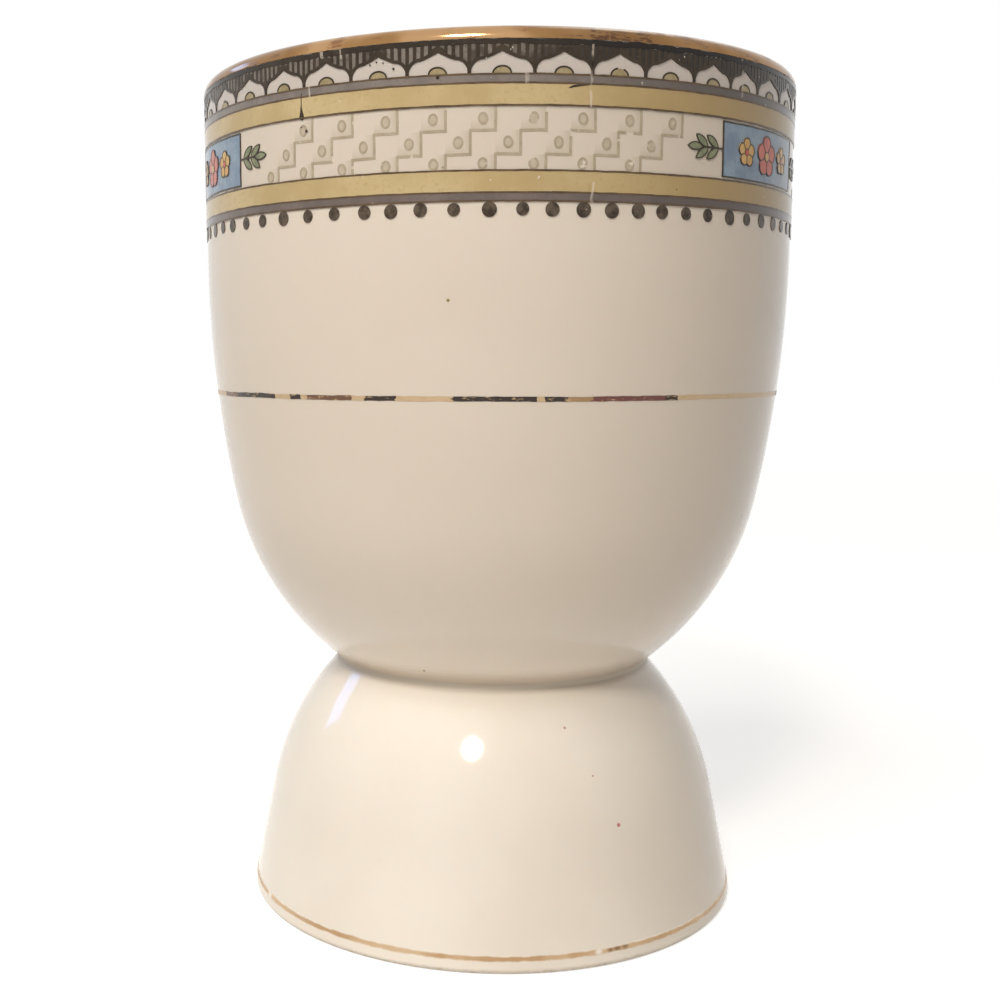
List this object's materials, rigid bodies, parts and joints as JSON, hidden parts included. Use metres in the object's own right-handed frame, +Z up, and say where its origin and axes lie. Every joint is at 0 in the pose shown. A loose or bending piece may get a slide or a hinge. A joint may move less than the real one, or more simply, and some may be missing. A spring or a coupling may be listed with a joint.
{
  "type": "egg cup",
  "caption": "Double-ended porcelain egg cup: a large bowl stuck to a small upturned bowl that is its foot, with gilt lip and a printed border.",
  "frame": {"origin": "centre of the standing edge, on the surface that the cup stands on", "axes": "+Z up along the cup's axis; the front of the cup faces -Y"},
  "size_m": [0.0634, 0.0635, 0.0891],
  "materials": {
    "porcelain": "glossy clear glaze over ivory-white porcelain, bare on the standing edge",
    "gold": "bright fired gold, rubbed thin in places",
    "ink": "fired dark brown-black print under a satin gloss",
    "hatched_ground": "grey print with fine dark upright hatching",
    "buff_enamel": "thin satin enamel",
    "grey_enamel": "thin satin enamel",
    "yellow_enamel": "thin satin enamel",
    "fret_grey": "pale print under the glaze",
    "blue_enamel": "thin satin enamel",
    "red_enamel": "raised glossy enamel",
    "orange_enamel": "raised glossy enamel",
    "olive_enamel": "thin satin enamel"
  },
  "bodies": {
    "root": {"large_cup": "porcelain", "small_cup": "porcelain", "waist_slip": "porcelain", "lip_gilding": "gold", "lip_key_line": "ink", "lappet_band": "hatched_ground", "lappet_centres": "buff_enamel", "upper_grey_stripe": "grey_enamel", "upper_yellow_band": "yellow_enamel", "stepped_fret": "fret_grey", "fret_roundels": "fret_grey", "blue_panels": "blue_enamel", "red_blossoms": "red_enamel", "yellow_blossoms": "orange_enamel", "leaf_sprigs": "olive_enamel", "lower_yellow_band": "yellow_enamel", "lower_grey_stripe": "grey_enamel", "key_lines": "ink", "bead_row": "ink", "body_gilt_line": "gold", "foot_gilt_line": "gold"}
  },
  "joints": []
}
